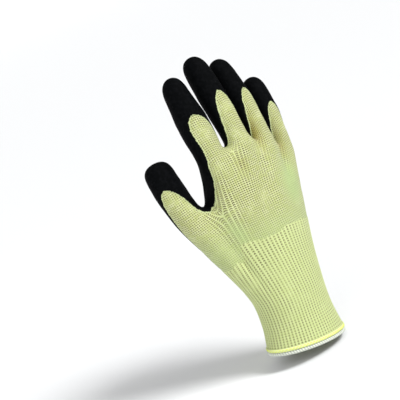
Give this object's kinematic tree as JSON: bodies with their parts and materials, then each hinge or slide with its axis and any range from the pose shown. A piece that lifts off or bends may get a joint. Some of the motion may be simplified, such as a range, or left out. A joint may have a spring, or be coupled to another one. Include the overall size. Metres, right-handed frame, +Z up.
{
  "type": "latex coated grip glove",
  "caption": "Seamless knitted work glove for the right hand, shown as worn, with a ribbed wrist and a latex dipped palm, finger and thumb coating that leaves bare tongues on the back.",
  "frame": {"origin": "centre of the open mouth of the cuff", "axes": "+Z up the wrist towards the fingertips, -Y out of the back of the hand, +Y out of the palm, -X towards the thumb"},
  "size_m": [0.1273, 0.0555, 0.2458],
  "materials": {
    "knit": "pale yellow green seamless knit with tan flecks, matt and slightly fuzzy",
    "latex": "black crinkle latex, matt with a fine sandy grain",
    "rib_knit": "pale yellow green ribbed knit with elastic, matt",
    "edge_thread": "off-white overlock thread, matt",
    "marker_thread": "bright yellow marker thread, matt"
  },
  "bodies": {
    "root": {"knit_liner": "knit", "latex_coating": "latex", "rib_cuff": "rib_knit", "overlock_edge": "edge_thread", "marker_stitching": "marker_thread"}
  },
  "joints": []
}
